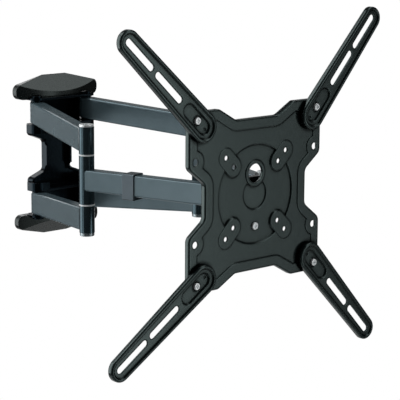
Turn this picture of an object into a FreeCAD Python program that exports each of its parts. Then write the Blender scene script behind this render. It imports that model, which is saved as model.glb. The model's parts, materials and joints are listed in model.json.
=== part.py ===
import FreeCAD, Part
import math
import os

# Tilt and swivel wall mount for a flat screen.
# Frame: X to the right along the wall, Z up, the wall is the plane Y = 0 and the
# screen faces -Y. "Out" below is the distance from the wall, which is -Y.
# All sizes are millimetres, angles are degrees.

# Double arm: wall pivots, elbows and head pivots
PIVOT_HALF_SPACING = 42.8
PIVOT_OUT = 19.0
LINK_LENGTH = 189.4
SPLAY = 16.6
REAR_BAR_HEIGHT = 30.0
FRONT_BAR_HEIGHT = 27.0
BAR_THICKNESS = 19.0
BAR_WALL = 2.0
BAR_EDGE_RADIUS = 2.5
REAR_EYE_LEVEL = 63.7
KNUCKLE_DIAMETER = 20.0
REAR_KNUCKLE_HEIGHT = 35.5
FRONT_KNUCKLE_HEIGHT = 63.0
ELBOW_WASHER = 2.0
ELBOW_PIN_DIAMETER = 12.0
ELBOW_HEAD_HEIGHT = 3.0
ELBOW_HEAD_STEP = 0.5
ELBOW_NUT_HEIGHT = 4.5
ELBOW_SOCKET_DEPTH = 2.2
ELBOW_RECESS_DIAMETER = 9.0
ELBOW_RECESS_DEPTH = 2.0
ELBOW_HEAD_ROUND = 1.2

# Pivot bolts with their sleeves and washers
BOLT_DIAMETER = 8.0
BOLT_HEAD_DIAMETER = 15.0
BOLT_HEAD_HEIGHT = 2.6
BOLT_NUT_WIDTH = 13.0
BOLT_NUT_HEIGHT = 6.0
SLEEVE_DIAMETER = 14.0
SLEEVE_PROUD = 0.3
PIVOT_WASHER = 1.2
PIVOT_WASHER_DIAMETER = 17.0
RUN_GAP = 0.05
SEAT_GAP = 0.02
OPEN_PIVOT_GAP = 0.3

# Wall bracket, pressed from sheet
BRACKET_SHEET = 3.0
WAIST_HALF_WIDTH = 22.0
WAIST_HALF_HEIGHT = 20.6
WAIST_DEPTH = 12.0
SPINE_DEPTH = 9.0
EAR_NUT_ROOM = 0.5
EAR_LIP_HEIGHT = 9.0
EAR_LIP_INNER_EDGE = 30.0
EAR_ROOT_HALF_WIDTH = 47.0
EAR_ROOT_RISE = 10.0
EAR_FLARE_OUT = 9.0
CREST_HALF_WIDTH = 39.5
CREST_MARGIN = 8.0
BRACKET_CORNER = 6.0
FLANGE_NOTCH_LEVEL = 18.5
FLANGE_NOTCH_RADIUS = 4.5
WALL_HOLE_DIAMETER = 9.0
WALL_HOLE_SPACING_X = 48.0
WALL_HOLE_RISE = 12.4

# Plastic caps over the wall bolts
CAP_HALF_WIDTH = 70.0
CAP_FLAT_HALF_WIDTH = 20.0
CAP_HEAD_ROOM = 0.3
CAP_LIFT = 0.4
CAP_OVER_CREST = 8.4
CAP_END_HEIGHT = 19.1
CAP_END_FLAT = 0.2
CAP_END_DEPTH = 9.0
CAP_MIDDLE_DEPTH = 21.0
CAP_SLANT = 47.0
CAP_WALL = 2.0
CAP_RIB = 3.0
CAP_RIB_OFFSET = 10.0
CAP_RIB_DEPTH = 9.0

# Cable clip on the left front bar
CLIP_FROM_ELBOW = 71.0
CLIP_WIDTH = 17.0
CLIP_WALL = 1.6
CLIP_CABLE_ROOM = 3.0
CLIP_MOUTH = 8.0

# Head bracket and tilt axis
HEAD_SHEET = 2.5
HEAD_EAR_RADIUS = 10.5
HEAD_WEB_OUT = 10.0
HEAD_NOTCH_OUT = 4.0
TILT_OUT = 18.3
TILT_BOLT_DIAMETER = 6.0
TILT_HEAD_DIAMETER = 10.0
TILT_HEAD_HEIGHT = 4.5
TILT_NUT_WIDTH = 10.0
TILT_NUT_HEIGHT = 5.0
TILT_TAB_RADIUS = 6.0
TILT_TAB_INNER = 21.0
TILT_WASHER = 1.0
TILT_WASHER_DIAMETER = 11.0
TILT_EAR_RADIUS = 5.5
TILT_BASE_TOP = 12.0
TILT_BASE_BOTTOM = -52.0

# Screen plate, pressed from sheet
FACE_OUT = 33.0
PLATE_SHEET = 2.5
PLATE_DEPTH = 7.0
PLATE_SIDE_MARGIN = 10.5
PLATE_TOP_MARGIN = 10.5
PLATE_WAIST_INSET = 25.7
PLATE_WAIST_FLAT = 22.0
PLATE_WAIST_FLARE = 42.0
PLATE_NOTCH_DEPTH = 15.5
PLATE_NOTCH_HALF = 34.5
PLATE_NOTCH_FLARE = 62.0
PLATE_CORNER = 16.0
PLATE_EDGE_RADIUS = 2.0
PLATE_BEND = 10.0
BAND_WIDTH = 13.0
PANEL_DEPTH = 1.2
PRESS_LEAN = 30.0
DISC_RADIUS = 63.0
DISC_DEPTH = 3.2
HUB_RADIUS = 19.5
HUB_DEPTH = 4.7
LOBE_RADIUS = 12.0
LOBE_DEPTH = 0.6
VIEW_HOLE_DIAMETER = 24.0
VIEW_HOLE_LEVEL = 26.0
COLLAR_WIDTH = 4.0
COLLAR_HEIGHT = 1.2
SMALL_PATTERN = 75.0
MIDDLE_PATTERN = 100.0
WIDE_PATTERN_X = 200.0
WIDE_PATTERN_Z = 100.0
SMALL_HOLE_DIAMETER = 6.5
WIDE_HOLE_DIAMETER = 9.0
WIDE_PAD_RADIUS = 13.0
LOCK_SCREW_LEVEL = -40.0
LOCK_SCREW_DIAMETER = 5.0
LOCK_HEAD_DIAMETER = 9.5
LOCK_HEAD_HEIGHT = 2.5
SCREW_HEAD_ROUND = 1.0
SCREW_CROSS_WIDTH = 1.2
SCREW_CROSS_LENGTH = 5.0
SCREW_CROSS_DEPTH = 1.2
LOCK_NUT_WIDTH = 8.0
LOCK_NUT_HEIGHT = 4.0

# Extension arms, each turning on its screw
ARM_PATTERN = 200.0
UPPER_LEFT_ANGLE = 137.0
UPPER_RIGHT_ANGLE = 48.1
LOWER_LEFT_ANGLE = 213.9
LOWER_RIGHT_ANGLE = 313.3
ARM_DEPTH = 7.0
ARM_SHEET = 2.0
ARM_RIM = 3.6
ARM_TRAY_DEPTH = 2.5
ARM_EDGE_RADIUS = 2.2
ARM_INNER_RADIUS = 18.6
ARM_INNER_OFFSET = 12.0
ARM_TIP_RADIUS = 14.8
ARM_TIP_OFFSET = 143.2
ARM_SEAT_RADIUS = 8.0
ARM_SEAT_REACH = 19.0
ARM_SLOT_WIDTH = 8.6
ARM_SLOT_LENGTH = 53.0
ARM_SLOT_FIRST = 62.5
ARM_SLOT_PITCH = 59.0
ARM_SCREW_DIAMETER = 6.0
ARM_SCREW_HEAD_DIAMETER = 9.0
ARM_SCREW_HEAD_HEIGHT = 3.0
ARM_SCREW_WELL_DIAMETER = 13.0
ARM_SCREW_WELL_DEPTH = 0.8
ARM_NUT_WIDTH = 10.0
ARM_NUT_HEIGHT = 5.0
ARM_PAD_RADIUS = 16.0
ARM_DIMPLE_OFFSET = 16.5
ARM_DIMPLE_RADIUS = 1.8
ARM_DIMPLE_DEPTH = 0.8

# Places worked out from the sizes above
PAST = 1.0
SPLAY_RAD = math.radians(SPLAY)
PRESS_RATE = math.tan(math.radians(PRESS_LEAN))
ELBOW_X = PIVOT_HALF_SPACING + LINK_LENGTH * math.sin(SPLAY_RAD)
ELBOW_OUT = PIVOT_OUT + LINK_LENGTH * math.cos(SPLAY_RAD)
HEAD_OUT = PIVOT_OUT + 2 * LINK_LENGTH * math.cos(SPLAY_RAD)
FACE = HEAD_OUT + FACE_OUT
REAR_KNUCKLE_LEVEL = FRONT_KNUCKLE_HEIGHT / 2 + ELBOW_WASHER + REAR_KNUCKLE_HEIGHT / 2
POST_TOP = REAR_KNUCKLE_LEVEL + REAR_KNUCKLE_HEIGHT / 2
REAR_SLOPE = (REAR_KNUCKLE_LEVEL - REAR_EYE_LEVEL) / LINK_LENGTH
REAR_SLEEVE_HALF = REAR_BAR_HEIGHT / 2 + abs(REAR_SLOPE) * BAR_THICKNESS / 2 + SLEEVE_PROUD
FRONT_SLEEVE_HALF = FRONT_BAR_HEIGHT / 2 + SLEEVE_PROUD
REAR_EAR_GAP = REAR_SLEEVE_HALF + RUN_GAP + PIVOT_WASHER
INNER_EAR = REAR_EYE_LEVEL - REAR_EAR_GAP
OUTER_EAR = REAR_EYE_LEVEL + REAR_EAR_GAP
OUTER_EAR_TOP = OUTER_EAR + BRACKET_SHEET
WALL_HOLE_LEVEL = OUTER_EAR_TOP + WALL_HOLE_RISE
CREST_LEVEL = WALL_HOLE_LEVEL + CREST_MARGIN
CAP_LOW = OUTER_EAR + CAP_LIFT
CAP_TOP = CREST_LEVEL + CAP_OVER_CREST
EAR_MARGIN = BOLT_NUT_WIDTH / math.sqrt(3) + EAR_NUT_ROOM + BRACKET_SHEET
EAR_HALF_WIDTH = PIVOT_HALF_SPACING + EAR_MARGIN
EAR_DEPTH = PIVOT_OUT + EAR_MARGIN
HEAD_FLANGE = FRONT_SLEEVE_HALF + RUN_GAP + PIVOT_WASHER
HEAD_FLANGE_TOP = HEAD_FLANGE + HEAD_SHEET
HEAD_WEB = HEAD_OUT + HEAD_WEB_OUT
TILT_AXIS = HEAD_OUT + TILT_OUT
TILT_TAB_OUTER = TILT_TAB_INNER + HEAD_SHEET
TILT_EAR_INNER = TILT_TAB_OUTER + TILT_WASHER + RUN_GAP
TILT_EAR_OUTER = TILT_EAR_INNER + PLATE_SHEET
PLATE_BACK = FACE - DISC_DEPTH - PLATE_SHEET
PLATE_HALF_WIDTH = max(WIDE_PATTERN_X, ARM_PATTERN) / 2 + PLATE_SIDE_MARGIN
PLATE_HALF_HEIGHT = ARM_PATTERN / 2 + PLATE_TOP_MARGIN
PLATE_WAIST_HALF = PLATE_HALF_WIDTH - PLATE_WAIST_INSET
PLATE_NOTCH_LEVEL = PLATE_HALF_HEIGHT - PLATE_NOTCH_DEPTH
ARM_HALF = ARM_PATTERN / 2
ARM_ANGLES = {
    "upper_left": UPPER_LEFT_ANGLE,
    "upper_right": UPPER_RIGHT_ANGLE,
    "lower_left": LOWER_LEFT_ANGLE,
    "lower_right": LOWER_RIGHT_ANGLE,
}

os.makedirs("parts", exist_ok=True)


def vec(x, y, z=0.0):
    return FreeCAD.Vector(x, y, z)


def save(name, solids):
    shape = solids[0] if len(solids) == 1 else Part.makeCompound(solids)
    shape.exportStep("parts/" + name + ".step")


# Outlines and prisms
def rounded_face(corners):
    """Flat face through (x, y, radius) corners, each rounded by its radius."""
    edges = []
    last = None
    first = None
    count = len(corners)
    for index in range(count):
        x, y, radius = corners[index]
        corner = vec(x, y)
        before = vec(*corners[index - 1][:2]).sub(corner).normalize()
        after = vec(*corners[(index + 1) % count][:2]).sub(corner).normalize()
        half = before.getAngle(after) / 2
        reach = radius / math.tan(half)
        start = corner + before * reach
        end = corner + after * reach
        if last is not None and last.distanceToPoint(start) > 1e-6:
            edges.append(Part.makeLine(last, start))
        if first is None:
            first = start
        if radius > 0:
            middle = corner + (before + after).normalize() * (radius / math.sin(half) - radius)
            edges.append(Part.Arc(start, middle, end).toShape())
        last = end
    if last.distanceToPoint(first) > 1e-6:
        edges.append(Part.makeLine(last, first))
    return Part.Face(Part.Wire(edges))


def stadium_face(x0, r0, x1, r1):
    """Flat face round two circles on the X axis, joined by their common tangents."""
    lean = math.asin((r0 - r1) / (x1 - x0))
    normal = vec(math.sin(lean), math.cos(lean))
    mirror = vec(normal.x, -normal.y)
    a = vec(x0, 0)
    b = vec(x1, 0)
    edges = [
        Part.makeLine(a + normal * r0, b + normal * r1),
        Part.Arc(b + normal * r1, vec(x1 + r1, 0), b + mirror * r1).toShape(),
        Part.makeLine(b + mirror * r1, a + mirror * r0),
        Part.Arc(a + mirror * r0, vec(x0 - r0, 0), a + normal * r0).toShape(),
    ]
    return Part.Face(Part.Wire(edges))


def inset_face(face, inset):
    """The same outline drawn in by a distance all round."""
    return face.makeOffset2D(-inset)


def prism(face, low, high):
    base = face.copy()
    base.translate(vec(0, 0, low))
    return base.extrude(vec(0, 0, high - low))


def tapered(low_face, low, high_face, high):
    """Solid between two outlines of the same kind at two heights."""
    wires = []
    for face, level in ((low_face, low), (high_face, high)):
        wire = face.OuterWire.copy()
        wire.translate(vec(0, 0, level))
        wires.append(wire)
    return Part.makeLoft(wires, True, True)


def edges_at(shape, height):
    """Edges that lie flat at one height."""
    flat = []
    for edge in shape.Edges:
        box = edge.BoundBox
        if abs(box.ZMin - height) < 1e-3 and abs(box.ZMax - height) < 1e-3:
            flat.append(edge)
    return flat


def to_front(shape):
    """Stand a shape drawn in X and Y up, so that its own Z points out of the wall."""
    shape.rotate(vec(0, 0), vec(1, 0, 0), 90)
    return shape


def to_side(shape):
    """Turn a shape drawn as (out, up) so that its own Z runs along X."""
    matrix = FreeCAD.Matrix(0, 0, 1, 0, -1, 0, 0, 0, 0, 1, 0, 0)
    return shape.transformGeometry(matrix)


def rod(x, out, low, high, radius):
    return Part.makeCylinder(radius, high - low, vec(x, -out, low))


def ring(x, out, low, high, outer, inner):
    return rod(x, out, low, high, outer).cut(rod(x, out, low - PAST, high + PAST, inner))


def peg(x, level, low, high, radius):
    """Round pin that points out of the wall, from one distance out to another."""
    return Part.makeCylinder(radius, high - low, vec(x, -low, level), vec(0, -1, 0))


def cone_peg(x, level, low, high, low_radius, high_radius):
    """Tapered pin that points out of the wall."""
    return Part.makeCone(low_radius, high_radius, high - low, vec(x, -low, level), vec(0, -1, 0))


def cross_rod(low, high, out, level, radius):
    return Part.makeCylinder(radius, high - low, vec(low, -out, level), vec(1, 0, 0))


def block(x0, x1, out0, out1, z0, z1):
    return Part.makeBox(x1 - x0, out1 - out0, z1 - z0, vec(x0, -out1, z0))


def hexagon(width, low, high):
    radius = width / math.sqrt(3)
    turns = [side * math.pi / 3 for side in range(6)]
    corners = [(radius * math.cos(turn), radius * math.sin(turn), 0) for turn in turns]
    return prism(rounded_face(corners), low, high)


def mirrored_up(shape):
    return shape.mirror(vec(0, 0), vec(0, 0, 1))


def four_ways(quarter):
    """Whole outline from the quarter that runs from the top middle to the right middle."""
    lower = [(x, -y, r) for x, y, r in reversed(quarter)]
    right = quarter + lower
    left = [(-x, y, r) for x, y, r in reversed(right)]
    return right + left


# Double arm
def bar_slab(height, eye_level, slope, inset):
    """Straight bar from the rounded eye at the origin to the knuckle's axis."""
    half = BAR_THICKNESS / 2 - inset
    rise = height / 2 - inset
    start = -half
    corners = []
    for x, sign in ((start, -1), (LINK_LENGTH, -1), (LINK_LENGTH, 1), (start, 1)):
        corners.append((x, eye_level + slope * x + sign * rise, 0))
    side = to_front(prism(rounded_face(corners), -half, half))
    tall = height + abs(eye_level) + abs(slope) * LINK_LENGTH
    plan = [(start, -half, half), (LINK_LENGTH, -half, 0), (LINK_LENGTH, half, 0), (start, half, half)]
    return side.common(prism(rounded_face(plan), -tall, tall))


def long_edges(bar):
    """Edges round the top and bottom of a bar, without those at its knuckle end."""
    picked = []
    for edge in bar.Edges:
        box = edge.BoundBox
        upright = box.XLength < 1e-3 and box.YLength < 1e-3
        at_knuckle = box.XMin > LINK_LENGTH - 1e-3
        if not upright and not at_knuckle:
            picked.append(edge)
    return picked


def link_bar(height, eye_level, knuckle_level, knuckle_height, pin_gap):
    slope = (knuckle_level - eye_level) / LINK_LENGTH
    outside = bar_slab(height, eye_level, slope, 0)
    outside = outside.makeFillet(BAR_EDGE_RADIUS, long_edges(outside))
    tube = outside.cut(bar_slab(height, eye_level, slope, BAR_WALL))
    low = knuckle_level - knuckle_height / 2
    high = knuckle_level + knuckle_height / 2
    bar = tube.fuse(rod(LINK_LENGTH, 0, low, high, KNUCKLE_DIAMETER / 2))
    bar = bar.cut(rod(LINK_LENGTH, 0, low - PAST, high + PAST, ELBOW_PIN_DIAMETER / 2 + pin_gap))
    tall = eye_level + height
    return bar.cut(rod(0, 0, -tall, tall, SLEEVE_DIAMETER / 2 + SEAT_GAP))


def place_link(shape, x, out, along_x, along_out):
    """Lay a link's own X axis along a direction in plan and move its eye to a pivot."""
    shape.rotate(vec(0, 0), vec(0, 0, 1), math.degrees(math.atan2(-along_out, along_x)))
    shape.translate(vec(x, -out))
    return shape


def make_arm_links(side, name):
    lean_x = side * math.sin(SPLAY_RAD)
    lean_out = math.cos(SPLAY_RAD)
    wall_x = side * PIVOT_HALF_SPACING
    elbow_x = side * ELBOW_X
    upper = link_bar(REAR_BAR_HEIGHT, REAR_EYE_LEVEL, REAR_KNUCKLE_LEVEL, REAR_KNUCKLE_HEIGHT, SEAT_GAP)
    upper = place_link(upper, wall_x, PIVOT_OUT, lean_x, lean_out)
    save(name + "_upper_rear_bar", [upper])
    save(name + "_lower_rear_bar", [mirrored_up(upper)])

    sleeve = ring(
        wall_x, PIVOT_OUT, REAR_EYE_LEVEL - REAR_SLEEVE_HALF, REAR_EYE_LEVEL + REAR_SLEEVE_HALF,
        SLEEVE_DIAMETER / 2, BOLT_DIAMETER / 2 + RUN_GAP,
    )
    save(name + "_wall_sleeves", [sleeve, mirrored_up(sleeve)])

    front = link_bar(FRONT_BAR_HEIGHT, 0, 0, FRONT_KNUCKLE_HEIGHT, RUN_GAP)
    save(name + "_front_bar", [place_link(front, wall_x, HEAD_OUT, lean_x, -lean_out)])

    pivot_gap = RUN_GAP if side < 0 else OPEN_PIVOT_GAP
    sleeve = ring(
        wall_x, HEAD_OUT, -FRONT_SLEEVE_HALF, FRONT_SLEEVE_HALF,
        SLEEVE_DIAMETER / 2, BOLT_DIAMETER / 2 + pivot_gap,
    )
    save(name + "_head_sleeve", [sleeve])

    knuckle_radius = KNUCKLE_DIAMETER / 2
    pin_radius = ELBOW_PIN_DIAMETER / 2
    washer = ring(
        elbow_x, ELBOW_OUT, FRONT_KNUCKLE_HEIGHT / 2 + RUN_GAP, FRONT_KNUCKLE_HEIGHT / 2 + ELBOW_WASHER,
        knuckle_radius, pin_radius + SEAT_GAP,
    )
    save(name + "_elbow_washers", [washer, mirrored_up(washer)])

    head_top = POST_TOP + ELBOW_HEAD_HEIGHT
    pin = rod(elbow_x, ELBOW_OUT, -POST_TOP - ELBOW_SOCKET_DEPTH, POST_TOP, pin_radius)
    head = rod(elbow_x, ELBOW_OUT, POST_TOP, head_top, knuckle_radius - ELBOW_HEAD_STEP)
    head = head.makeFillet(ELBOW_HEAD_ROUND, edges_at(head, head_top))
    recess_low = head_top - ELBOW_RECESS_DEPTH
    recess = rod(elbow_x, ELBOW_OUT, recess_low, head_top + PAST, ELBOW_RECESS_DIAMETER / 2)
    save(name + "_elbow_pin", [pin.fuse(head).cut(recess)])

    nut_low = -POST_TOP - ELBOW_NUT_HEIGHT
    nut = rod(elbow_x, ELBOW_OUT, nut_low, -POST_TOP, knuckle_radius - ELBOW_HEAD_STEP)
    nut = nut.makeFillet(ELBOW_HEAD_ROUND, edges_at(nut, nut_low))
    socket_radius = pin_radius + SEAT_GAP
    socket = rod(elbow_x, ELBOW_OUT, -POST_TOP - ELBOW_SOCKET_DEPTH, -POST_TOP + PAST, socket_radius)
    save(name + "_elbow_nut", [nut.cut(socket)])


def make_cable_clip():
    """Springy band over the left front bar, with room for a cable under it."""
    half = BAR_THICKNESS / 2
    low = -FRONT_BAR_HEIGHT / 2 - CLIP_CABLE_ROOM
    high = FRONT_BAR_HEIGHT / 2
    wall = CLIP_WALL
    outer = [(-half - wall, low - wall, wall), (half + wall, low - wall, wall)]
    outer += [(half + wall, high + wall, wall), (-half - wall, high + wall, wall)]
    inner = [(-half, low, 0), (half, low, 0), (half, high, 0), (-half, high, 0)]
    band = prism(rounded_face(outer), 0, CLIP_WIDTH)
    band = band.cut(prism(rounded_face(inner), -PAST, CLIP_WIDTH + PAST))
    mouth_low = (low + high - CLIP_MOUTH) / 2
    mouth_start = vec(-half - wall - PAST, mouth_low, -PAST)
    band = band.cut(Part.makeBox(wall + 2 * PAST, CLIP_MOUTH, CLIP_WIDTH + 2 * PAST, mouth_start))
    # The band is drawn across the bar and then turned to lie along it.
    band.rotate(vec(0, 0), vec(1, 0, 0), 90)
    band.rotate(vec(0, 0), vec(0, 0, 1), 90)
    band.translate(vec(LINK_LENGTH - CLIP_FROM_ELBOW - CLIP_WIDTH / 2, 0))
    place_link(band, -PIVOT_HALF_SPACING, HEAD_OUT, -math.sin(SPLAY_RAD), -math.cos(SPLAY_RAD))
    save("cable_clip", [band])


# Wall bracket and its bolts
def bracket_outline():
    quarter = [
        (CREST_HALF_WIDTH, CREST_LEVEL, BRACKET_CORNER),
        (CREST_HALF_WIDTH, INNER_EAR, 0),
        (EAR_ROOT_HALF_WIDTH, INNER_EAR, 0),
        (EAR_ROOT_HALF_WIDTH, WAIST_HALF_HEIGHT + EAR_ROOT_RISE, BRACKET_CORNER),
        (WAIST_HALF_WIDTH, WAIST_HALF_HEIGHT, BRACKET_CORNER),
    ]
    return rounded_face(four_ways(quarter))


def shelf_face(inset):
    """Plan of the ears: narrow at the wall, wider and rounded round the pivots."""
    root = EAR_ROOT_HALF_WIDTH - inset
    half = EAR_HALF_WIDTH - inset
    front = EAR_DEPTH - inset
    corner = EAR_MARGIN - inset
    left = [(-root, 0, 0), (-half, -EAR_FLARE_OUT, 0), (-half, -front, corner)]
    right = [(-x, y, radius) for x, y, radius in reversed(left)]
    return rounded_face(left + right)


def make_wall_bracket():
    sheet = BRACKET_SHEET
    outline = bracket_outline()
    bracket = to_front(prism(outline, 0, sheet))

    # Side flanges of the waist: a wall along the outline, up to the inner ears.
    inside = prism(inset_face(outline, sheet), -PAST, WAIST_DEPTH + PAST)
    flange = prism(outline, 0, WAIST_DEPTH).cut(inside)
    reach = EAR_HALF_WIDTH + PAST
    for level in (-FLANGE_NOTCH_LEVEL, FLANGE_NOTCH_LEVEL):
        start = vec(-reach, level, WAIST_DEPTH)
        flange = flange.cut(Part.makeCylinder(FLANGE_NOTCH_RADIUS, 2 * reach, start, vec(1, 0, 0)))
    flange = to_front(flange)
    waist_band = block(-reach, reach, -PAST, WAIST_DEPTH + PAST, -INNER_EAR, INNER_EAR)
    spine_band = block(-reach, reach, -PAST, SPINE_DEPTH, -OUTER_EAR, OUTER_EAR)
    bracket = bracket.fuse(flange.common(waist_band.fuse(spine_band)))

    # Cupped ears above and below each rear bar.
    lip_low = INNER_EAR - sheet - EAR_LIP_HEIGHT
    lip = prism(shelf_face(0), lip_low, INNER_EAR)
    lip = lip.cut(prism(shelf_face(sheet), lip_low - PAST, INNER_EAR + PAST))
    edge = EAR_LIP_INNER_EDGE
    lip = lip.cut(block(-edge, edge, -PAST, EAR_DEPTH + PAST, 0, INNER_EAR + PAST))
    inner_shelf = prism(shelf_face(0), INNER_EAR - sheet, INNER_EAR)
    outer_shelf = prism(shelf_face(0), OUTER_EAR, OUTER_EAR_TOP)
    ears = lip.fuse([inner_shelf, outer_shelf])
    bracket = bracket.fuse([ears, mirrored_up(ears)])

    holes = []
    for side in (-1, 1):
        tall = OUTER_EAR_TOP + PAST
        holes.append(rod(side * PIVOT_HALF_SPACING, PIVOT_OUT, -tall, tall, BOLT_DIAMETER / 2 + SEAT_GAP))
        for level in (-1, 1):
            x = side * WALL_HOLE_SPACING_X / 2
            z = level * WALL_HOLE_LEVEL
            holes.append(peg(x, z, -PAST, sheet + PAST, WALL_HOLE_DIAMETER / 2))
    save("wall_bracket", [bracket.cut(holes).removeSplitter()])


def pivot_bolt(x, out, seat, foot):
    """Low-headed bolt from its head's seat down past the foot by its nut's height."""
    shank = rod(x, out, foot - BOLT_NUT_HEIGHT, seat, BOLT_DIAMETER / 2)
    return shank.fuse(rod(x, out, seat, seat + BOLT_HEAD_HEIGHT, BOLT_HEAD_DIAMETER / 2))


def pivot_nut(x, out, foot):
    nut = hexagon(BOLT_NUT_WIDTH, foot - BOLT_NUT_HEIGHT, foot)
    nut.translate(vec(x, -out))
    return nut.cut(rod(x, out, foot - BOLT_NUT_HEIGHT - PAST, foot + PAST, BOLT_DIAMETER / 2 + SEAT_GAP))


def pivot_washer(x, out, low):
    return ring(x, out, low, low + PIVOT_WASHER, PIVOT_WASHER_DIAMETER / 2, BOLT_DIAMETER / 2 + SEAT_GAP)


def make_wall_bolts():
    bolts = []
    nuts = []
    washers = []
    for side in (-1, 1):
        x = side * PIVOT_HALF_SPACING
        bolts.append(pivot_bolt(x, PIVOT_OUT, OUTER_EAR_TOP, INNER_EAR - BRACKET_SHEET))
        nuts.append(pivot_nut(x, PIVOT_OUT, INNER_EAR - BRACKET_SHEET))
        washers.append(pivot_washer(x, PIVOT_OUT, INNER_EAR))
        washers.append(pivot_washer(x, PIVOT_OUT, OUTER_EAR - PIVOT_WASHER))
    save("wall_pivot_bolts", bolts + [mirrored_up(bolt) for bolt in bolts])
    save("wall_pivot_nuts", nuts + [mirrored_up(nut) for nut in nuts])
    save("wall_pivot_washers", washers + [mirrored_up(washer) for washer in washers])


# Caps
def cap_body(inset):
    """Hood with rounded ends, an arched front and a slanted top that starts at the wall."""
    half = CAP_HALF_WIDTH - inset
    flat = CAP_FLAT_HALF_WIDTH
    low = CAP_LOW + inset
    high = CAP_TOP - inset
    end_high = CAP_LOW + CAP_END_HEIGHT - inset
    end_radius = (end_high - low) / 2 - CAP_END_FLAT
    corners = [(-half, low, end_radius), (half, low, end_radius), (half, end_high, end_radius)]
    corners += [(flat, high, 0), (-flat, high, 0), (-half, end_high, end_radius)]
    start = -PAST if inset else 0.0
    hood = to_front(prism(rounded_face(corners), start, CAP_MIDDLE_DEPTH + PAST))

    end_out = CAP_END_DEPTH - inset
    middle_out = CAP_MIDDLE_DEPTH - inset
    arch = [
        Part.Arc(vec(-half, -end_out), vec(0, -middle_out), vec(half, -end_out)).toShape(),
        Part.makeLine(vec(half, -end_out), vec(half, -start)),
        Part.makeLine(vec(half, -start), vec(-half, -start)),
        Part.makeLine(vec(-half, -start), vec(-half, -end_out)),
    ]
    hood = hood.common(prism(Part.Face(Part.Wire(arch)), 0, CAP_TOP + PAST))

    fall = math.tan(math.radians(CAP_SLANT))
    top = CAP_TOP - inset / math.cos(math.radians(CAP_SLANT))
    far = CAP_MIDDLE_DEPTH + PAST
    corners = [(-PAST, 0, 0), (far, 0, 0), (far, top - fall * far, 0), (-PAST, top + fall * PAST, 0)]
    wedge = to_side(prism(rounded_face(corners), -CAP_HALF_WIDTH, CAP_HALF_WIDTH))
    return hood.common(wedge)


def make_caps():
    hood = cap_body(0)
    inside = cap_body(CAP_WALL)
    # The skirt's mouth fits round the outer ear, with room for the bolt heads above it.
    mouth = [prism(shelf_face(-CAP_HEAD_ROOM), CAP_LOW - PAST, OUTER_EAR_TOP)]
    head_top = OUTER_EAR_TOP + BOLT_HEAD_HEIGHT + CAP_HEAD_ROOM
    for x in (-PIVOT_HALF_SPACING, PIVOT_HALF_SPACING):
        mouth.append(rod(x, PIVOT_OUT, CAP_LOW, head_top, BOLT_HEAD_DIAMETER / 2 + CAP_HEAD_ROOM))
    cap = hood.cut([inside] + mouth)
    # Two ribs stand on the bracket's outer ear and carry the hood.
    for side in (-1, 1):
        middle = side * CAP_RIB_OFFSET
        rib = block(
            middle - CAP_RIB / 2, middle + CAP_RIB / 2,
            BRACKET_SHEET + SEAT_GAP, BRACKET_SHEET + CAP_RIB_DEPTH, OUTER_EAR_TOP, CAP_TOP,
        )
        cap = cap.fuse(rib.common(hood))
    cap = cap.removeSplitter()
    save("top_cap", [cap])
    save("bottom_cap", [mirrored_up(cap)])


# Head bracket and tilt hardware
def head_flange_face():
    """Plan of the head's flanges: an ear round each pivot, notched between them."""
    half = PIVOT_HALF_SPACING + HEAD_EAR_RADIUS
    gap = PIVOT_HALF_SPACING - HEAD_EAR_RADIUS
    back = -HEAD_OUT + HEAD_EAR_RADIUS
    notch = -HEAD_OUT - HEAD_NOTCH_OUT
    front = -HEAD_WEB - HEAD_SHEET
    ear = HEAD_EAR_RADIUS
    corners = [(-half, front, 0), (-half, back, ear), (-gap, back, ear), (-gap, notch, 0)]
    corners += [(gap, notch, 0), (gap, back, ear), (half, back, ear), (half, front, 0)]
    return rounded_face(corners)


def make_head_bracket():
    flange = prism(head_flange_face(), HEAD_FLANGE, HEAD_FLANGE_TOP)
    half = PIVOT_HALF_SPACING + HEAD_EAR_RADIUS
    web = block(-half, half, HEAD_WEB, HEAD_WEB + HEAD_SHEET, -HEAD_FLANGE_TOP, HEAD_FLANGE_TOP)
    head = web.fuse([flange, mirrored_up(flange)])
    for side in (-1, 1):
        low = min(side * TILT_TAB_INNER, side * TILT_TAB_OUTER)
        tab = block(low, low + HEAD_SHEET, HEAD_WEB, TILT_AXIS, -TILT_TAB_RADIUS, TILT_TAB_RADIUS)
        nose = cross_rod(low, low + HEAD_SHEET, TILT_AXIS, 0, TILT_TAB_RADIUS)
        head = head.fuse([tab, nose])
        x = side * PIVOT_HALF_SPACING
        tall = HEAD_FLANGE_TOP + PAST
        head = head.cut(rod(x, HEAD_OUT, -tall, tall, BOLT_DIAMETER / 2 + SEAT_GAP))
    reach = TILT_TAB_OUTER + PAST
    head = head.cut(cross_rod(-reach, reach, TILT_AXIS, 0, TILT_BOLT_DIAMETER / 2 + SEAT_GAP))
    save("head_bracket", [head.removeSplitter()])


def make_head_bolts():
    bolts = []
    nuts = []
    washers = []
    for side in (-1, 1):
        x = side * PIVOT_HALF_SPACING
        bolts.append(pivot_bolt(x, HEAD_OUT, HEAD_FLANGE_TOP, -HEAD_FLANGE_TOP))
        nuts.append(pivot_nut(x, HEAD_OUT, -HEAD_FLANGE_TOP))
        washers.append(pivot_washer(x, HEAD_OUT, HEAD_FLANGE - PIVOT_WASHER))
        washers.append(pivot_washer(x, HEAD_OUT, -HEAD_FLANGE))
    save("head_pivot_bolts", bolts)
    save("head_pivot_nuts", nuts)
    save("head_pivot_washers", washers)


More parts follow.
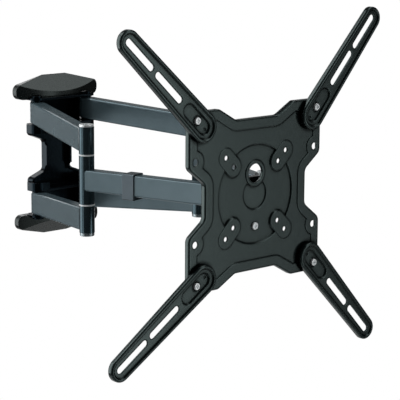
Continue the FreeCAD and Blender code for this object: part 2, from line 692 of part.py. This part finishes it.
def make_tilt_hardware():
    radius = TILT_BOLT_DIAMETER / 2
    seat = TILT_EAR_OUTER + RUN_GAP
    shank = cross_rod(-seat, seat + TILT_NUT_HEIGHT, TILT_AXIS, 0, radius)
    head = cross_rod(-seat - TILT_HEAD_HEIGHT, -seat, TILT_AXIS, 0, TILT_HEAD_DIAMETER / 2)
    save("tilt_bolt", [shank.fuse(head)])

    nut = hexagon(TILT_NUT_WIDTH, 0, TILT_NUT_HEIGHT)
    nut.rotate(vec(0, 0), vec(0, 1, 0), 90)
    nut.translate(vec(seat, -TILT_AXIS))
    hole = cross_rod(seat - PAST, seat + TILT_NUT_HEIGHT + PAST, TILT_AXIS, 0, radius + SEAT_GAP)
    save("tilt_nut", [nut.cut(hole)])

    washers = []
    for low in (TILT_TAB_OUTER, -TILT_TAB_OUTER - TILT_WASHER):
        washer = cross_rod(low, low + TILT_WASHER, TILT_AXIS, 0, TILT_WASHER_DIAMETER / 2)
        bore = cross_rod(low - PAST, low + TILT_WASHER + PAST, TILT_AXIS, 0, radius + SEAT_GAP)
        washers.append(washer.cut(bore))
    save("tilt_friction_washers", washers)


def make_tilt_bracket():
    """Channel on the back of the plate, whose ears turn on the tilt bolt."""
    sheet = PLATE_SHEET
    base_back = PLATE_BACK - sheet
    bracket = block(-TILT_EAR_OUTER, TILT_EAR_OUTER, base_back, PLATE_BACK, TILT_BASE_BOTTOM, TILT_BASE_TOP)
    for side in (-1, 1):
        low = min(side * TILT_EAR_INNER, side * TILT_EAR_OUTER)
        ear = block(low, low + sheet, TILT_AXIS, PLATE_BACK, -TILT_EAR_RADIUS, TILT_EAR_RADIUS)
        bracket = bracket.fuse([ear, cross_rod(low, low + sheet, TILT_AXIS, 0, TILT_EAR_RADIUS)])
    reach = TILT_EAR_OUTER + PAST
    bracket = bracket.cut(cross_rod(-reach, reach, TILT_AXIS, 0, TILT_BOLT_DIAMETER / 2 + RUN_GAP))
    screw = LOCK_SCREW_DIAMETER / 2 + SEAT_GAP
    bracket = bracket.cut(peg(0, LOCK_SCREW_LEVEL, base_back - PAST, PLATE_BACK + PAST, screw))
    save("tilt_bracket", [bracket.removeSplitter()])


# Screen plate
def plate_outline():
    """Cross-shaped outline with a waist on each side and a notch above and below."""
    quarter = [
        (PLATE_NOTCH_HALF, PLATE_NOTCH_LEVEL, PLATE_BEND),
        (PLATE_NOTCH_FLARE, PLATE_HALF_HEIGHT, PLATE_BEND),
        (PLATE_HALF_WIDTH, PLATE_HALF_HEIGHT, PLATE_CORNER),
        (PLATE_HALF_WIDTH, PLATE_WAIST_FLARE, PLATE_BEND),
        (PLATE_WAIST_HALF, PLATE_WAIST_FLAT, PLATE_BEND),
    ]
    return rounded_face(four_ways(quarter))


def at_corners(spacing_x, spacing_z):
    return [(sx * spacing_x / 2, sz * spacing_z / 2) for sx in (-1, 1) for sz in (-1, 1)]


def pad_places():
    """Middle and radius of the pads under the extension arms and round the wide pattern's holes."""
    wide = [(x, z, WIDE_PAD_RADIUS) for x, z in at_corners(WIDE_PATTERN_X, WIDE_PATTERN_Z)]
    arms = [(x, z, ARM_PAD_RADIUS) for x, z in at_corners(ARM_PATTERN, ARM_PATTERN)]
    return wide + arms


def dish(low, level, radius):
    """Cutter for a round recess that has its radius at one level and leans in below it."""
    high = FACE + PAST
    low_radius = radius - (level - low) * PRESS_RATE
    high_radius = radius + (high - level) * PRESS_RATE
    return cone_peg(0, 0, low, high, low_radius, high_radius)


def boss(x, z, low, high, radius):
    """Round pad that widens towards its foot."""
    return cone_peg(x, z, low, high, radius + (high - low) * PRESS_RATE, radius)


def lobe(x, z, radius, low, high):
    """Pad that leans in towards its top, round a pair of screen holes on the same diagonal."""
    step = (MIDDLE_PATTERN - SMALL_PATTERN) / math.sqrt(2)
    foot = radius + (high - low) * PRESS_RATE
    top_face = stadium_face(0, radius, step, radius)
    pad = tapered(stadium_face(0, foot, step, foot), low, top_face, high)
    pad.rotate(vec(0, 0), vec(0, 0, 1), math.degrees(math.atan2(z, x)))
    pad.translate(vec(x, z))
    return to_front(pad)


def make_plate():
    sheet = PLATE_SHEET
    back = FACE - PLATE_DEPTH
    outline = plate_outline()
    plate = prism(outline, back, FACE)
    plate = plate.makeFillet(PLATE_EDGE_RADIUS, edges_at(plate, FACE))
    plate = plate.cut(prism(inset_face(outline, sheet), back - PAST, FACE - sheet))
    panel_face = FACE - PANEL_DEPTH
    panel_back = panel_face - sheet
    panel = to_front(prism(inset_face(outline, BAND_WIDTH - sheet), panel_back, FACE - sheet))
    panel = panel.cut([peg(x, z, panel_back - PAST, FACE, radius - sheet) for x, z, radius in pad_places()])
    plate = to_front(plate).fuse(panel)
    plate = plate.fuse(peg(0, 0, PLATE_BACK, FACE - sheet, DISC_RADIUS + sheet))

    # Pressed reliefs of the front, all with leaning walls.
    step_foot = inset_face(outline, BAND_WIDTH + PANEL_DEPTH * PRESS_RATE)
    step_top = inset_face(outline, BAND_WIDTH - PAST * PRESS_RATE)
    pocket = to_front(tapered(step_foot, panel_face, step_top, FACE + PAST))
    pads = []
    for x, z, radius in pad_places():
        pads.append(boss(x, z, panel_face - PAST, FACE + 2 * PAST, radius - 2 * PAST * PRESS_RATE))
    plate = plate.cut(pocket.cut(pads))
    disc_face = FACE - DISC_DEPTH
    plate = plate.cut(dish(disc_face, FACE, DISC_RADIUS))
    lobe_face = FACE - LOBE_DEPTH
    for x, z in at_corners(SMALL_PATTERN, SMALL_PATTERN):
        plate = plate.fuse(lobe(x, z, LOBE_RADIUS, PLATE_BACK, lobe_face))
        plate = plate.cut(lobe(x, z, LOBE_RADIUS - sheet, PLATE_BACK - PAST, lobe_face - sheet))
    collar_radius = VIEW_HOLE_DIAMETER / 2 + COLLAR_WIDTH
    collar = boss(0, VIEW_HOLE_LEVEL, PLATE_BACK, disc_face + COLLAR_HEIGHT, collar_radius)
    plate = plate.cut(dish(FACE - HUB_DEPTH, disc_face, HUB_RADIUS)).fuse(collar)

    small = SMALL_HOLE_DIAMETER / 2
    patterns = (
        (SMALL_PATTERN, SMALL_PATTERN, small),
        (MIDDLE_PATTERN, MIDDLE_PATTERN, small),
        (WIDE_PATTERN_X, WIDE_PATTERN_Z, WIDE_HOLE_DIAMETER / 2),
        (ARM_PATTERN, ARM_PATTERN, ARM_SCREW_DIAMETER / 2 + SEAT_GAP),
    )
    holes = [peg(0, VIEW_HOLE_LEVEL, back - PAST, FACE + PAST, VIEW_HOLE_DIAMETER / 2)]
    holes.append(peg(0, LOCK_SCREW_LEVEL, back - PAST, FACE + PAST, LOCK_SCREW_DIAMETER / 2 + SEAT_GAP))
    for spacing_x, spacing_z, radius in patterns:
        for x, z in at_corners(spacing_x, spacing_z):
            holes.append(peg(x, z, back - PAST, FACE + PAST, radius))
    save("screen_plate", [plate.cut(holes).removeSplitter()])


def front_nut(x, level, width, low, high, bore):
    nut = hexagon(width, low, high)
    nut.translate(vec(x, level))
    return to_front(nut).cut(peg(x, level, low - PAST, high + PAST, bore))


def pan_screw(x, level, foot, seat, radius, head_radius, head_height):
    """Screw that points out of the wall, with a rounded head and a cross in it."""
    top = seat + head_height
    head = Part.makeCylinder(head_radius, head_height, vec(0, 0, seat))
    head = head.makeFillet(SCREW_HEAD_ROUND, edges_at(head, top))
    cross_low = top - SCREW_CROSS_DEPTH
    length = SCREW_CROSS_LENGTH
    width = SCREW_CROSS_WIDTH
    for size_x, size_y in ((length, width), (width, length)):
        start = vec(-size_x / 2, -size_y / 2, cross_low)
        head = head.cut(Part.makeBox(size_x, size_y, SCREW_CROSS_DEPTH + PAST, start))
    screw = head.fuse(Part.makeCylinder(radius, seat - foot, vec(0, 0, foot)))
    screw.translate(vec(x, level))
    return to_front(screw)


def make_lock_screw():
    radius = LOCK_SCREW_DIAMETER / 2
    seat = FACE - DISC_DEPTH
    nut_high = PLATE_BACK - PLATE_SHEET
    nut_low = nut_high - LOCK_NUT_HEIGHT
    screw = pan_screw(0, LOCK_SCREW_LEVEL, nut_low, seat, radius, LOCK_HEAD_DIAMETER / 2, LOCK_HEAD_HEIGHT)
    save("plate_lock_screw", [screw])
    nut = front_nut(0, LOCK_SCREW_LEVEL, LOCK_NUT_WIDTH, nut_low, nut_high, radius + SEAT_GAP)
    save("plate_lock_nut", [nut])


# Extension arms
def arm_face(inset):
    return stadium_face(-ARM_INNER_OFFSET, ARM_INNER_RADIUS - inset, ARM_TIP_OFFSET, ARM_TIP_RADIUS - inset)


def seat_face(grow):
    radius = ARM_SEAT_RADIUS + grow
    return stadium_face(-ARM_INNER_OFFSET, radius, ARM_SEAT_REACH, radius)


def make_extension_arm():
    """Pressed tray with a raised rim, two slots and a sunk seat for its screw."""
    floor = ARM_DEPTH - ARM_TRAY_DEPTH
    under = floor - ARM_SHEET
    high = ARM_DEPTH + PAST
    arm = prism(arm_face(0), RUN_GAP, ARM_DEPTH)
    arm = arm.makeFillet(ARM_EDGE_RADIUS, edges_at(arm, ARM_DEPTH))
    tray_foot = arm_face(ARM_RIM + ARM_TRAY_DEPTH * PRESS_RATE)
    arm = arm.cut(tapered(tray_foot, floor, arm_face(ARM_RIM - PAST * PRESS_RATE), high))
    arm = arm.cut(prism(arm_face(ARM_SHEET), -PAST, under))
    arm = arm.fuse(prism(seat_face(ARM_SHEET), RUN_GAP, floor))
    seat_top = seat_face((high - ARM_SHEET) * PRESS_RATE)
    arm = arm.cut(tapered(seat_face(0), ARM_SHEET, seat_top, high))
    end = ARM_SLOT_LENGTH / 2 - ARM_SLOT_WIDTH / 2
    for middle in (ARM_SLOT_FIRST, ARM_SLOT_FIRST + ARM_SLOT_PITCH):
        slot = stadium_face(middle - end, ARM_SLOT_WIDTH / 2, middle + end, ARM_SLOT_WIDTH / 2)
        arm = arm.cut(prism(slot, -PAST, ARM_DEPTH + PAST))
    dimple_foot = vec(-ARM_DIMPLE_OFFSET, 0, ARM_SHEET - ARM_DIMPLE_DEPTH)
    dimple = Part.makeCylinder(ARM_DIMPLE_RADIUS, PAST, dimple_foot)
    hole = Part.makeCylinder(ARM_SCREW_DIAMETER / 2 + RUN_GAP, ARM_DEPTH, vec(0, 0, -PAST))
    well_foot = vec(0, 0, ARM_SHEET - ARM_SCREW_WELL_DEPTH)
    well = Part.makeCylinder(ARM_SCREW_WELL_DIAMETER / 2, ARM_DEPTH, well_foot)
    return arm.cut([dimple, hole, well])


def make_extension_arms():
    screws = []
    nuts = []
    radius = ARM_SCREW_DIAMETER / 2
    nut_high = FACE - PLATE_SHEET
    nut_low = nut_high - ARM_NUT_HEIGHT
    seat = FACE + ARM_SHEET - ARM_SCREW_WELL_DEPTH + RUN_GAP
    head_radius = ARM_SCREW_HEAD_DIAMETER / 2
    pattern = make_extension_arm()
    for name, angle in ARM_ANGLES.items():
        x = ARM_HALF if "right" in name else -ARM_HALF
        z = ARM_HALF if "upper" in name else -ARM_HALF
        arm = pattern.copy()
        arm.rotate(vec(0, 0), vec(0, 0, 1), angle)
        arm.translate(vec(x, z, FACE))
        save("extension_arm_" + name, [to_front(arm)])
        screws.append(pan_screw(x, z, nut_low, seat, radius, head_radius, ARM_SCREW_HEAD_HEIGHT))
        nuts.append(front_nut(x, z, ARM_NUT_WIDTH, nut_low, nut_high, radius + SEAT_GAP))
    save("arm_screws", screws)
    save("arm_nuts", nuts)


make_wall_bracket()
make_wall_bolts()
make_caps()
make_arm_links(-1, "left")
make_arm_links(1, "right")
make_cable_clip()
make_head_bracket()
make_head_bolts()
make_tilt_hardware()
make_tilt_bracket()
make_plate()
make_lock_screw()
make_extension_arms()
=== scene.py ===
import json
import math

import bpy
from mathutils import Matrix, Vector


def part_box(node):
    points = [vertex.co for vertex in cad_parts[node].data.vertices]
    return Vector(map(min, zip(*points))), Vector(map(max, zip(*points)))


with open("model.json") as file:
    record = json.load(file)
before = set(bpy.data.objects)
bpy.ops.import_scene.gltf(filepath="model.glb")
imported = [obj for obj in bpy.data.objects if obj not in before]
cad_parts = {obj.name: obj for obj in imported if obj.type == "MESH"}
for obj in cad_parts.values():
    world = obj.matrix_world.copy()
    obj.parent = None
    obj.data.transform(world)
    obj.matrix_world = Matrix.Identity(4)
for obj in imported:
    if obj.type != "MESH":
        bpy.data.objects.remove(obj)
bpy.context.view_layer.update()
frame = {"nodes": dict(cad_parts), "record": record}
NODES = frame["nodes"]

# Camera fitted to the screw holes, posts and caps, in metres, with its lens and sensor in millimetres
CAMERA_PLACE = Vector((-1.3303, -1.79795, 0.36))
CAMERA_FORWARD = Vector((0.65481, 0.73198, -0.18824)).normalized()
CAMERA_RIGHT = Vector((0.74606, -0.66585, 0.006)).normalized()
CAMERA_LENS = 143.07
SENSOR_WIDTH = 36.0

# Floor, with the share of white at its middle and the distances between which it fades to all white
FLOOR_LEVEL = -1.3
FLOOR_HALF = 1.6
FLOOR_COLOUR = (0.86, 0.86, 0.86, 1.0)
FLOOR_ROUGHNESS = 0.8
FLOOR_WHITE = 0.5
FLOOR_FADE = (0.5, 1.5)

# Backdrop behind the object, white inside one cone and dim outside another, given by their cosines
BACKDROP_COLOUR = (1.0, 1.0, 1.0, 1.0)
BACKDROP_WHITE = 1.0
BACKDROP_CONES = (0.86, 0.985)
BACKDROP_FALL = 3.0
DARK_STUDIO = 0.05
AMBIENT = 0.15

# Left wall of soft panels: where each one starts and ends along the wall, and its brightness
LEFT_WALL_FRONT = Vector((-2.3, -0.15, 0.3))
LEFT_WALL_BACK = Vector((0.5, 2.3, 0.3))
LEFT_WALL_HEIGHT = 2.2
LEFT_PANELS = (
    (0.0, 0.18, 1.45),
    (0.18, 0.28, 0.3),
    (0.28, 0.56, 2.6),
    (0.56, 0.80, 0.25),
)

# Other soft panels: place, the point that each one faces, width, height and brightness
SOFT_PANELS = {
    "front_panel": ((0.975, -2.0, 0.0), (0.975, -0.4, 0.0), 0.45, 1.8, 2.4),
    "front_fill": ((0.29, -2.0, 0.0), (0.29, -0.4, 0.0), 0.92, 1.8, 0.5),
    "side_panel": ((3.485, -4.0, -0.95), (3.485, -0.4, -0.95), 0.93, 1.9, 0.85),
    "top_panel": ((0.9, -0.85, 1.8), (0.3, -0.6, 0.0), 2.0, 1.0, 1.9),
    "back_panel": ((-0.75, 0.75, 1.8), (-0.1, -0.1, 0.0), 1.3, 0.9, 3.5),
    "back_fill": ((0.8, 2.2, 0.5), (0.3, 0.0, 0.0), 1.2, 1.8, 1.8),
}

# Finishes: reach in metres of the pale edges, which are worn coat and a painted highlight, and of the
# painted shade in the grooves, and the openness at which each starts and ends
# Pale edges: worn paint and coat, and a painted highlight along them
BAR_EDGE = 0.0018
COAT_EDGE = 0.0011
EDGE_SPAN = (0.5, 0.8)
# Painted shade: how far the grooves and the feet of steps darken the black coat, where that starts and ends,
# and the dimmed reflection there
GROOVE_SHADE_REACH = 0.007
GROOVE_SHADE_SPAN = (0.68, 0.95)
GROOVE_SHADE_SPECULAR = 0.05
COAT_SPECULAR = 0.55
POST_RADIUS = 0.0103
BAR_METAL = 0.45
POST_METAL = 0.8
POST_ROUGHNESS = 0.14
FINE_SAMPLES = 8
DRIFT_DETAIL = 3.0
# Middle of the range of a noise, and the whole range of a share
NOISE_SPAN = (0.3, 0.7)
SHARE_SPAN = (0.0, 1.0)
# Keeps the level part of a place
LEVEL_PART = (1.0, 1.0, 0.0)
# Sockets of a colour mix
MIX_FIRST = 6
MIX_SECOND = 7
MIX_RESULT = 2


def rgb(red, green, blue):
    """Linear colour from the 0 to 255 values of a screen."""
    def linear(value):
        share = value / 255
        if share <= 0.04045:
            return share / 12.92
        return ((share + 0.055) / 1.055) ** 2.4
    return (linear(red), linear(green), linear(blue), 1.0)


class NodeTree:
    """Short calls for adding nodes to one tree."""

    def __init__(self, tree):
        self.tree = tree

    def node(self, kind, **settings):
        made = self.tree.nodes.new(kind)
        for key, value in settings.items():
            setattr(made, key, value)
        return made

    def feed(self, socket, value):
        """Link a socket to the output that is given, or set it to a plain value."""
        if isinstance(value, bpy.types.NodeSocket):
            self.tree.links.new(value, socket)
        else:
            socket.default_value = value

    def math(self, operation, first, second):
        made = self.node("ShaderNodeMath", operation=operation)
        self.feed(made.inputs[0], first)
        self.feed(made.inputs[1], second)
        return made.outputs["Value"]

    def vector(self, operation, first, second, result):
        made = self.node("ShaderNodeVectorMath", operation=operation)
        self.feed(made.inputs[0], first)
        self.feed(made.inputs[1], second)
        return made.outputs[result]

    def span(self, value, low, high, source):
        """Value stretched from the source range to one from low to high, and held at its ends."""
        made = self.node("ShaderNodeMapRange")
        self.feed(made.inputs["Value"], value)
        self.feed(made.inputs["From Min"], source[0])
        self.feed(made.inputs["From Max"], source[1])
        self.feed(made.inputs["To Min"], low)
        self.feed(made.inputs["To Max"], high)
        return made.outputs["Result"]


class Graph(NodeTree):
    """One material and short calls for its nodes."""

    def __init__(self, name):
        self.material = bpy.data.materials.new(name)
        self.material.use_nodes = True
        super().__init__(self.material.node_tree)
        self.shader = self.tree.nodes["Principled BSDF"]
        self.place = self.node("ShaderNodeTexCoord").outputs["Object"]

    def set(self, **values):
        for key, value in values.items():
            self.feed(self.shader.inputs[key.replace("_", " ")], value)

    def mix(self, share, first, second):
        made = self.node("ShaderNodeMix", data_type="RGBA")
        self.feed(made.inputs["Factor"], share)
        self.feed(made.inputs[MIX_FIRST], first)
        self.feed(made.inputs[MIX_SECOND], second)
        return made.outputs[MIX_RESULT]

    def noise(self, scale, detail):
        made = self.node("ShaderNodeTexNoise")
        self.feed(made.inputs["Vector"], self.place)
        self.feed(made.inputs["Scale"], scale)
        self.feed(made.inputs["Detail"], detail)
        return made.outputs["Fac"]

    def drift(self, scale, low=0.0, high=1.0):
        """Slow change over the surface between two values."""
        return self.span(self.noise(scale, DRIFT_DETAIL), low, high, NOISE_SPAN)

    def near_axis(self, centre, radius):
        """One within the radius of an upright axis, and zero outside it."""
        level = self.vector("MULTIPLY", self.place, LEVEL_PART, "Vector")
        away = self.vector("DISTANCE", level, (centre.x, centre.y, 0.0), "Value")
        return self.math("LESS_THAN", away, radius)

    def occlusion_shade(self, reach):
        """One on open faces, falling in the grooves, along the feet of steps and near other parts; it sets
        where shade is painted.
        """
        made = self.node("ShaderNodeAmbientOcclusion", samples=FINE_SAMPLES)
        self.feed(made.inputs["Distance"], reach)
        return made.outputs["AO"]

    def edges(self, reach):
        """One along the outer edges, where the coat is thin and a highlight is painted, and zero on the
        faces.
        """
        made = self.node("ShaderNodeAmbientOcclusion", samples=FINE_SAMPLES, inside=True, only_local=True)
        self.feed(made.inputs["Distance"], reach)
        return self.span(made.outputs["AO"], 1.0, 0.0, EDGE_SPAN)

    def relief(self, scale, depth, strength, edge, detail=2.0):
        """Fine bump on normals that are softened over the sharp edges."""
        soft = self.node("ShaderNodeBevel", samples=FINE_SAMPLES)
        self.feed(soft.inputs["Radius"], edge)
        made = self.node("ShaderNodeBump")
        self.feed(made.inputs["Strength"], strength)
        self.feed(made.inputs["Distance"], depth)
        self.feed(made.inputs["Height"], self.noise(scale, detail))
        self.feed(made.inputs["Normal"], soft.outputs["Normal"])
        self.set(Normal=made.outputs["Normal"])

    def paint(self, colours, mottle, roughness, grain):
        """Colour that drifts between two tones, and roughness that drifts between two values."""
        self.set(Base_Color=self.mix(self.drift(mottle), *colours), Roughness=self.drift(grain, *roughness))


def node_middle(node):
    low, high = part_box(node)
    return (Vector(low) + Vector(high)) / 2


# Materials
def arm_paint():
    """Gunmetal paint on the bars, and a black gloss on the round posts at their elbows."""
    graph = Graph("arm_paint")
    left_post = graph.near_axis(node_middle("left_elbow_pin"), POST_RADIUS)
    right_post = graph.near_axis(node_middle("right_elbow_pin"), POST_RADIUS)
    post = graph.math("MAXIMUM", left_post, right_post)
    tone = graph.drift(scale=45.0)
    bar_colour = graph.mix(tone, rgb(84, 102, 109), rgb(91, 109, 116))
    # Paler along the outer edges: worn paint, and a painted highlight
    bar_colour = graph.mix(graph.edges(BAR_EDGE), bar_colour, rgb(176, 192, 198))
    post_colour = graph.mix(tone, rgb(58, 75, 82), rgb(64, 81, 88))
    bar_roughness = graph.drift(scale=160.0, low=0.22, high=0.27)
    graph.set(
        Base_Color=graph.mix(post, bar_colour, post_colour),
        Metallic=graph.span(post, BAR_METAL, POST_METAL, SHARE_SPAN),
        Roughness=graph.span(post, bar_roughness, POST_ROUGHNESS, SHARE_SPAN),
        Specular_IOR_Level=0.5,
    )
    graph.relief(scale=2600.0, depth=0.00001, strength=0.2, edge=0.001)
    return graph.material


def clip_plastic():
    """Grey plastic of the cable clip, a little duller than the bar under it."""
    graph = Graph("clip_plastic")
    tones = (rgb(84, 94, 100), rgb(90, 100, 106))
    graph.paint(tones, mottle=45.0, roughness=(0.3, 0.36), grain=160.0)
    graph.set(Metallic=0.8, Specular_IOR_Level=0.4)
    graph.relief(scale=1500.0, depth=0.00003, strength=0.4, edge=0.0005)
    return graph.material


def black_coat():
    """Black powder coat of the pressed plate and the extension arms, with shade painted dark into their
    grooves and the feet of their steps.
    """
    graph = Graph("black_coat")
    # Painted shade: ambient occlusion from this part and the parts near it marks the grooves and the feet of
    # steps
    unshaded_share = graph.occlusion_shade(GROOVE_SHADE_REACH)
    face = graph.mix(graph.drift(scale=30.0), rgb(13, 19, 20), rgb(17, 23, 23))
    # Paler along the outer edges: worn coat, and a painted highlight
    face = graph.mix(graph.edges(COAT_EDGE), face, rgb(104, 118, 118))
    clear = graph.span(unshaded_share, 0.0, 1.0, GROOVE_SHADE_SPAN)
    graph.set(
        # Painted shade: the colour goes to near black in the grooves and at the feet of steps
        Base_Color=graph.mix(clear, rgb(1, 2, 2), face),
        Roughness=graph.drift(scale=120.0, low=0.17, high=0.22),
        # Painted shade: the reflection is dimmed there too
        Specular_IOR_Level=graph.span(unshaded_share, GROOVE_SHADE_SPECULAR, COAT_SPECULAR, GROOVE_SHADE_SPAN),
        Specular_Tint=(0.74, 1.0, 0.97, 1.0),
    )
    graph.relief(scale=1800.0, depth=0.00002, strength=0.3, edge=0.0025)
    return graph.material


def shaded_bracket_coat():
    """Darker, less glossy copy of the black coat on the wall bracket and the hidden brackets, which paints
    the shade the wall bracket sits in.
    """
    graph = Graph("shaded_bracket_coat")
    # Painted shade: near-black colour and a weak reflection stand in for the shadow on the bracket
    tones = (rgb(3, 3, 4), rgb(5, 5, 6))
    graph.paint(tones, mottle=30.0, roughness=(0.13, 0.18), grain=120.0)
    graph.set(Specular_IOR_Level=0.18, Specular_Tint=(0.4, 0.75, 1.0, 1.0))
    graph.relief(scale=1800.0, depth=0.00003, strength=0.4, edge=0.0008)
    return graph.material


def cap_plastic():
    """Finely grained black plastic of the caps."""
    graph = Graph("cap_plastic")
    tones = (rgb(4, 5, 5), rgb(7, 8, 8))
    graph.paint(tones, mottle=40.0, roughness=(0.25, 0.3), grain=300.0)
    graph.set(Specular_IOR_Level=0.45, Specular_Tint=(0.84, 1.0, 0.98, 1.0))
    graph.relief(scale=1400.0, depth=0.00002, strength=0.1, edge=0.0012, detail=3.0)
    return graph.material


def white_nylon():
    """Pale nylon of the washers, which lets a little light in."""
    graph = Graph("white_nylon")
    tones = (rgb(226, 229, 230), rgb(236, 238, 238))
    graph.paint(tones, mottle=60.0, roughness=(0.35, 0.45), grain=200.0)
    graph.set(Subsurface_Weight=0.05, Specular_IOR_Level=0.5)
    graph.relief(scale=900.0, depth=0.00003, strength=0.4, edge=0.0003)
    return graph.material


def zinc():
    """Bright zinc plate of the screws, bolts and pins."""
    graph = Graph("zinc")
    tones = (rgb(222, 228, 230), rgb(236, 240, 241))
    graph.paint(tones, mottle=90.0, roughness=(0.22, 0.32), grain=400.0)
    graph.set(Metallic=0.45)
    graph.relief(scale=1200.0, depth=0.00002, strength=0.4, edge=0.0004)
    return graph.material


def nut_steel():
    """Dark plated steel of the nuts at the feet of the elbows."""
    graph = Graph("nut_steel")
    tones = (rgb(138, 150, 154), rgb(150, 162, 166))
    graph.paint(tones, mottle=90.0, roughness=(0.24, 0.3), grain=400.0)
    graph.set(Metallic=0.8)
    graph.relief(scale=1200.0, depth=0.00002, strength=0.4, edge=0.0006)
    return graph.material


SLOT_MATERIALS = {
    "arm_paint": arm_paint(),
    "black_coat": black_coat(),
    "cap_plastic": cap_plastic(),
    "white_nylon": white_nylon(),
    "zinc": zinc(),
}
BRACKET_NODES = (
    "wall_bracket",
    "head_bracket",
    "tilt_bracket",
    "wall_pivot_bolts",
    "wall_pivot_nuts",
    "wall_pivot_washers",
    "left_wall_sleeves",
    "right_wall_sleeves",
)
ELBOW_NUTS = ("left_elbow_nut", "right_elbow_nut")
# Nodes that look different from the rest of their slot
OWN_MATERIALS = (
    (shaded_bracket_coat(), BRACKET_NODES),
    (clip_plastic(), ("cable_clip",)),
    (nut_steel(), ELBOW_NUTS),
)


def dress(node, material):
    mesh = NODES[node].data
    mesh.materials.clear()
    mesh.materials.append(material)


for row in frame["record"]["subparts"]:
    dress(row["node"], SLOT_MATERIALS[row["material_slot"]])
for material, names in OWN_MATERIALS:
    for name in names:
        dress(name, material)


# Camera, backdrop, floor and light
def add_camera():
    data = bpy.data.cameras.new("camera")
    data.lens = CAMERA_LENS
    data.sensor_width = SENSOR_WIDTH
    up = CAMERA_RIGHT.cross(CAMERA_FORWARD)
    turn = Matrix((CAMERA_RIGHT, up, -CAMERA_FORWARD)).transposed()
    camera = bpy.data.objects.new("camera", data)
    camera.matrix_world = Matrix.Translation(CAMERA_PLACE) @ turn.to_4x4()
    bpy.context.scene.collection.objects.link(camera)
    bpy.context.scene.camera = camera


def add_world():
    """White wherever the camera looks, a white backdrop in reflections, dim elsewhere."""
    world = bpy.data.worlds.new("studio")
    bpy.context.scene.world = world
    world.use_nodes = True
    graph = NodeTree(world.node_tree)
    graph.tree.nodes.clear()
    direction = graph.node("ShaderNodeTexCoord").outputs["Generated"]
    facing = graph.vector("DOT_PRODUCT", direction, CAMERA_FORWARD, "Value")
    fall = graph.math("POWER", graph.span(facing, 0.0, 1.0, BACKDROP_CONES), BACKDROP_FALL)
    reflected = graph.span(fall, DARK_STUDIO, BACKDROP_WHITE, SHARE_SPAN)
    path = graph.node("ShaderNodeLightPath").outputs
    mirrors = graph.math("MAXIMUM", path["Is Glossy Ray"], path["Is Transmission Ray"])
    level = graph.span(mirrors, AMBIENT, reflected, SHARE_SPAN)
    level = graph.span(path["Is Camera Ray"], level, BACKDROP_WHITE, SHARE_SPAN)
    background = graph.node("ShaderNodeBackground")
    graph.feed(background.inputs["Color"], BACKDROP_COLOUR)
    graph.feed(background.inputs["Strength"], level)
    output = graph.node("ShaderNodeOutputWorld")
    graph.feed(output.inputs["Surface"], background.outputs["Background"])


def add_floor():
    """Pale floor that fades into the white backdrop towards its rim."""
    mesh = bpy.data.meshes.new("floor")
    sides = ((-1, -1), (1, -1), (1, 1), (-1, 1))
    corners = [(x * FLOOR_HALF, y * FLOOR_HALF, FLOOR_LEVEL) for x, y in sides]
    mesh.from_pydata(corners, [], [range(len(corners))])
    floor = bpy.data.objects.new("floor", mesh)
    bpy.context.scene.collection.objects.link(floor)
    graph = Graph("floor")
    graph.set(Base_Color=FLOOR_COLOUR, Roughness=FLOOR_ROUGHNESS)
    away = graph.vector("DISTANCE", graph.place, (0.0, 0.0, FLOOR_LEVEL), "Value")
    fade = graph.span(away, FLOOR_WHITE, 1.0, FLOOR_FADE)
    seen = graph.math("MULTIPLY", fade, graph.node("ShaderNodeLightPath").outputs["Is Camera Ray"])
    glow = graph.node("ShaderNodeEmission")
    blend = graph.node("ShaderNodeMixShader")
    graph.feed(blend.inputs["Fac"], seen)
    graph.feed(blend.inputs[1], graph.shader.outputs["BSDF"])
    graph.feed(blend.inputs[2], glow.outputs["Emission"])
    graph.feed(graph.tree.nodes["Material Output"].inputs["Surface"], blend.outputs["Shader"])
    mesh.materials.append(graph.material)


def add_softbox(name, place, target, width, height, radiance):
    """Soft panel whose face has one brightness, where 1 is the white of the backdrop."""
    data = bpy.data.lights.new(name, "AREA")
    data.shape = "RECTANGLE"
    data.size = width
    data.size_y = height
    data.energy = radiance * math.pi * width * height
    lamp = bpy.data.objects.new(name, data)
    lamp.location = place
    lamp.rotation_mode = "QUATERNION"
    lamp.rotation_quaternion = (Vector(target) - Vector(place)).to_track_quat("-Z", "Y")
    lamp.visible_camera = False
    bpy.context.scene.collection.objects.link(lamp)


def add_left_wall():
    """Row of bright and dim panels along the left wall, facing the object."""
    along = LEFT_WALL_BACK - LEFT_WALL_FRONT
    inward = Vector((along.y, -along.x, 0.0))
    for number, (start, end, radiance) in enumerate(LEFT_PANELS):
        place = LEFT_WALL_FRONT.lerp(LEFT_WALL_BACK, (start + end) / 2)
        width = along.length * (end - start)
        add_softbox("left_panel_%d" % number, place, place + inward, width, LEFT_WALL_HEIGHT, radiance)


add_camera()
add_world()
add_floor()
add_left_wall()
for name, panel in SOFT_PANELS.items():
    add_softbox(name, *panel)

bpy.context.scene.view_settings.view_transform = "Standard"
